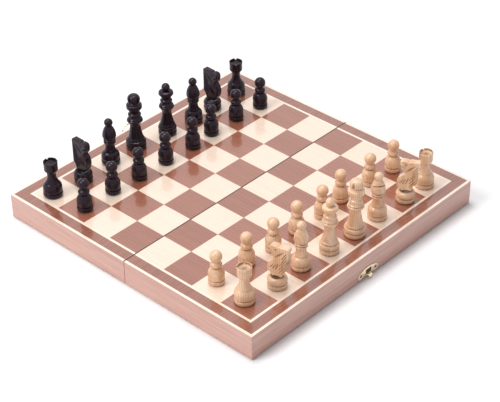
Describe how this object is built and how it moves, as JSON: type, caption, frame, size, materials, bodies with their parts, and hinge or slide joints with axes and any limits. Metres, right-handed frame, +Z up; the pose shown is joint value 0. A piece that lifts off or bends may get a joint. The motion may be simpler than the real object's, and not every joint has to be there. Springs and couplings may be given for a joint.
{
  "type": "folding chess set",
  "caption": "Wooden folding chess set, lying open: two hinged case halves with an inlaid playing board, a brass swing clasp and turned chessmen in place.",
  "frame": {"origin": "middle of the crease between the two halves, level with the rims that the open case stands on", "axes": "+X from the a file to the h file, +Y from the white half to the black half, +Z up from the rims to the playing face"},
  "size_m": [0.3, 0.307, 0.0841],
  "materials": {
    "boxwood": "satin",
    "ebonised_wood": "gloss",
    "maple_veneer": "gloss lacquer",
    "mahogany_veneer": "gloss lacquer",
    "mahogany_rail": "satin lacquer",
    "plywood": "matt",
    "green_felt": "matt",
    "brass": "polished"
  },
  "bodies": {
    "white_half": {"white_border_veneer": "mahogany_veneer", "white_dark_squares": "mahogany_veneer", "white_end_rails": "mahogany_rail", "white_felt_lining": "green_felt", "white_hinge_leaves": "brass", "white_hinge_rail": "mahogany_rail", "white_light_squares": "maple_veneer", "white_outer_rail": "mahogany_rail", "white_panel": "plywood", "white_screws": "brass", "white_stringing": "maple_veneer", "hinge_pins": "brass", "clasp_catch": "brass"},
    "black_half": {"black_border_veneer": "mahogany_veneer", "black_dark_squares": "mahogany_veneer", "black_end_rails": "mahogany_rail", "black_felt_lining": "green_felt", "black_hinge_leaves": "brass", "black_hinge_rail": "mahogany_rail", "black_light_squares": "maple_veneer", "black_outer_rail": "mahogany_rail", "black_panel": "plywood", "black_screws": "brass", "black_stringing": "maple_veneer", "clasp_mount_plate": "brass", "clasp_pin": "brass"},
    "clasp_bail": {"clasp_loop": "brass"},
    "black_bishop_c8_man": {"black_bishop_c8": "ebonised_wood"},
    "black_bishop_f8_man": {"black_bishop_f8": "ebonised_wood"},
    "black_king_d8_man": {"black_king_d8": "ebonised_wood"},
    "black_knight_b8_man": {"black_knight_b8": "ebonised_wood"},
    "black_knight_g8_man": {"black_knight_g8": "ebonised_wood"},
    "black_pawn_a7_man": {"black_pawn_a7": "ebonised_wood"},
    "black_pawn_b7_man": {"black_pawn_b7": "ebonised_wood"},
    "black_pawn_c7_man": {"black_pawn_c7": "ebonised_wood"},
    "black_pawn_d7_man": {"black_pawn_d7": "ebonised_wood"},
    "black_pawn_e7_man": {"black_pawn_e7": "ebonised_wood"},
    "black_pawn_f7_man": {"black_pawn_f7": "ebonised_wood"},
    "black_pawn_g7_man": {"black_pawn_g7": "ebonised_wood"},
    "black_pawn_h7_man": {"black_pawn_h7": "ebonised_wood"},
    "black_queen_e8_man": {"black_queen_e8": "ebonised_wood"},
    "black_rook_a8_man": {"black_rook_a8": "ebonised_wood"},
    "black_rook_h8_man": {"black_rook_h8": "ebonised_wood"},
    "white_bishop_c1_man": {"white_bishop_c1": "boxwood"},
    "white_bishop_f1_man": {"white_bishop_f1": "boxwood"},
    "white_king_e1_man": {"white_king_e1": "boxwood"},
    "white_knight_b1_man": {"white_knight_b1": "boxwood"},
    "white_knight_g1_man": {"white_knight_g1": "boxwood"},
    "white_pawn_a2_man": {"white_pawn_a2": "boxwood"},
    "white_pawn_b2_man": {"white_pawn_b2": "boxwood"},
    "white_pawn_c2_man": {"white_pawn_c2": "boxwood"},
    "white_pawn_d2_man": {"white_pawn_d2": "boxwood"},
    "white_pawn_e2_man": {"white_pawn_e2": "boxwood"},
    "white_pawn_f2_man": {"white_pawn_f2": "boxwood"},
    "white_pawn_g2_man": {"white_pawn_g2": "boxwood"},
    "white_pawn_h2_man": {"white_pawn_h2": "boxwood"},
    "white_queen_d1_man": {"white_queen_d1": "boxwood"},
    "white_rook_a1_man": {"white_rook_a1": "boxwood"},
    "white_rook_h1_man": {"white_rook_h1": "boxwood"}
  },
  "joints": [
    {"name": "fold", "type": "hinge", "parent": "white_half", "child": "black_half", "pos_m": [0, 0, 0], "axis": [-1, 0, 0], "range_deg": [0, 180]},
    {"name": "clasp_swing", "type": "hinge", "parent": "black_half", "child": "clasp_bail", "pos_m": [0, 0.15175, 0.0115], "axis": [-1, 0, 0], "range_deg": [0, 180]},
    {"name": "white_king_e1_lift", "type": "slide", "parent": "white_half", "child": "white_king_e1_man", "axis": [0, 0, 1], "range_m": [0, 0.08]},
    {"name": "white_queen_d1_lift", "type": "slide", "parent": "white_half", "child": "white_queen_d1_man", "axis": [0, 0, 1], "range_m": [0, 0.08]},
    {"name": "white_rook_a1_lift", "type": "slide", "parent": "white_half", "child": "white_rook_a1_man", "axis": [0, 0, 1], "range_m": [0, 0.08]},
    {"name": "white_rook_h1_lift", "type": "slide", "parent": "white_half", "child": "white_rook_h1_man", "axis": [0, 0, 1], "range_m": [0, 0.08]},
    {"name": "white_bishop_c1_lift", "type": "slide", "parent": "white_half", "child": "white_bishop_c1_man", "axis": [0, 0, 1], "range_m": [0, 0.08]},
    {"name": "white_bishop_f1_lift", "type": "slide", "parent": "white_half", "child": "white_bishop_f1_man", "axis": [0, 0, 1], "range_m": [0, 0.08]},
    {"name": "white_knight_b1_lift", "type": "slide", "parent": "white_half", "child": "white_knight_b1_man", "axis": [0, 0, 1], "range_m": [0, 0.08]},
    {"name": "white_knight_g1_lift", "type": "slide", "parent": "white_half", "child": "white_knight_g1_man", "axis": [0, 0, 1], "range_m": [0, 0.08]},
    {"name": "white_pawn_a2_lift", "type": "slide", "parent": "white_half", "child": "white_pawn_a2_man", "axis": [0, 0, 1], "range_m": [0, 0.08]},
    {"name": "white_pawn_b2_lift", "type": "slide", "parent": "white_half", "child": "white_pawn_b2_man", "axis": [0, 0, 1], "range_m": [0, 0.08]},
    {"name": "white_pawn_c2_lift", "type": "slide", "parent": "white_half", "child": "white_pawn_c2_man", "axis": [0, 0, 1], "range_m": [0, 0.08]},
    {"name": "white_pawn_d2_lift", "type": "slide", "parent": "white_half", "child": "white_pawn_d2_man", "axis": [0, 0, 1], "range_m": [0, 0.08]},
    {"name": "white_pawn_e2_lift", "type": "slide", "parent": "white_half", "child": "white_pawn_e2_man", "axis": [0, 0, 1], "range_m": [0, 0.08]},
    {"name": "white_pawn_f2_lift", "type": "slide", "parent": "white_half", "child": "white_pawn_f2_man", "axis": [0, 0, 1], "range_m": [0, 0.08]},
    {"name": "white_pawn_g2_lift", "type": "slide", "parent": "white_half", "child": "white_pawn_g2_man", "axis": [0, 0, 1], "range_m": [0, 0.08]},
    {"name": "white_pawn_h2_lift", "type": "slide", "parent": "white_half", "child": "white_pawn_h2_man", "axis": [0, 0, 1], "range_m": [0, 0.08]},
    {"name": "black_king_d8_lift", "type": "slide", "parent": "black_half", "child": "black_king_d8_man", "axis": [0, 0, 1], "range_m": [0, 0.08]},
    {"name": "black_queen_e8_lift", "type": "slide", "parent": "black_half", "child": "black_queen_e8_man", "axis": [0, 0, 1], "range_m": [0, 0.08]},
    {"name": "black_rook_a8_lift", "type": "slide", "parent": "black_half", "child": "black_rook_a8_man", "axis": [0, 0, 1], "range_m": [0, 0.08]},
    {"name": "black_rook_h8_lift", "type": "slide", "parent": "black_half", "child": "black_rook_h8_man", "axis": [0, 0, 1], "range_m": [0, 0.08]},
    {"name": "black_bishop_c8_lift", "type": "slide", "parent": "black_half", "child": "black_bishop_c8_man", "axis": [0, 0, 1], "range_m": [0, 0.08]},
    {"name": "black_bishop_f8_lift", "type": "slide", "parent": "black_half", "child": "black_bishop_f8_man", "axis": [0, 0, 1], "range_m": [0, 0.08]},
    {"name": "black_knight_b8_lift", "type": "slide", "parent": "black_half", "child": "black_knight_b8_man", "axis": [0, 0, 1], "range_m": [0, 0.08]},
    {"name": "black_knight_g8_lift", "type": "slide", "parent": "black_half", "child": "black_knight_g8_man", "axis": [0, 0, 1], "range_m": [0, 0.08]},
    {"name": "black_pawn_a7_lift", "type": "slide", "parent": "black_half", "child": "black_pawn_a7_man", "axis": [0, 0, 1], "range_m": [0, 0.08]},
    {"name": "black_pawn_b7_lift", "type": "slide", "parent": "black_half", "child": "black_pawn_b7_man", "axis": [0, 0, 1], "range_m": [0, 0.08]},
    {"name": "black_pawn_c7_lift", "type": "slide", "parent": "black_half", "child": "black_pawn_c7_man", "axis": [0, 0, 1], "range_m": [0, 0.08]},
    {"name": "black_pawn_d7_lift", "type": "slide", "parent": "black_half", "child": "black_pawn_d7_man", "axis": [0, 0, 1], "range_m": [0, 0.08]},
    {"name": "black_pawn_e7_lift", "type": "slide", "parent": "black_half", "child": "black_pawn_e7_man", "axis": [0, 0, 1], "range_m": [0, 0.08]},
    {"name": "black_pawn_f7_lift", "type": "slide", "parent": "black_half", "child": "black_pawn_f7_man", "axis": [0, 0, 1], "range_m": [0, 0.08]},
    {"name": "black_pawn_g7_lift", "type": "slide", "parent": "black_half", "child": "black_pawn_g7_man", "axis": [0, 0, 1], "range_m": [0, 0.08]},
    {"name": "black_pawn_h7_lift", "type": "slide", "parent": "black_half", "child": "black_pawn_h7_man", "axis": [0, 0, 1], "range_m": [0, 0.08]}
  ]
}
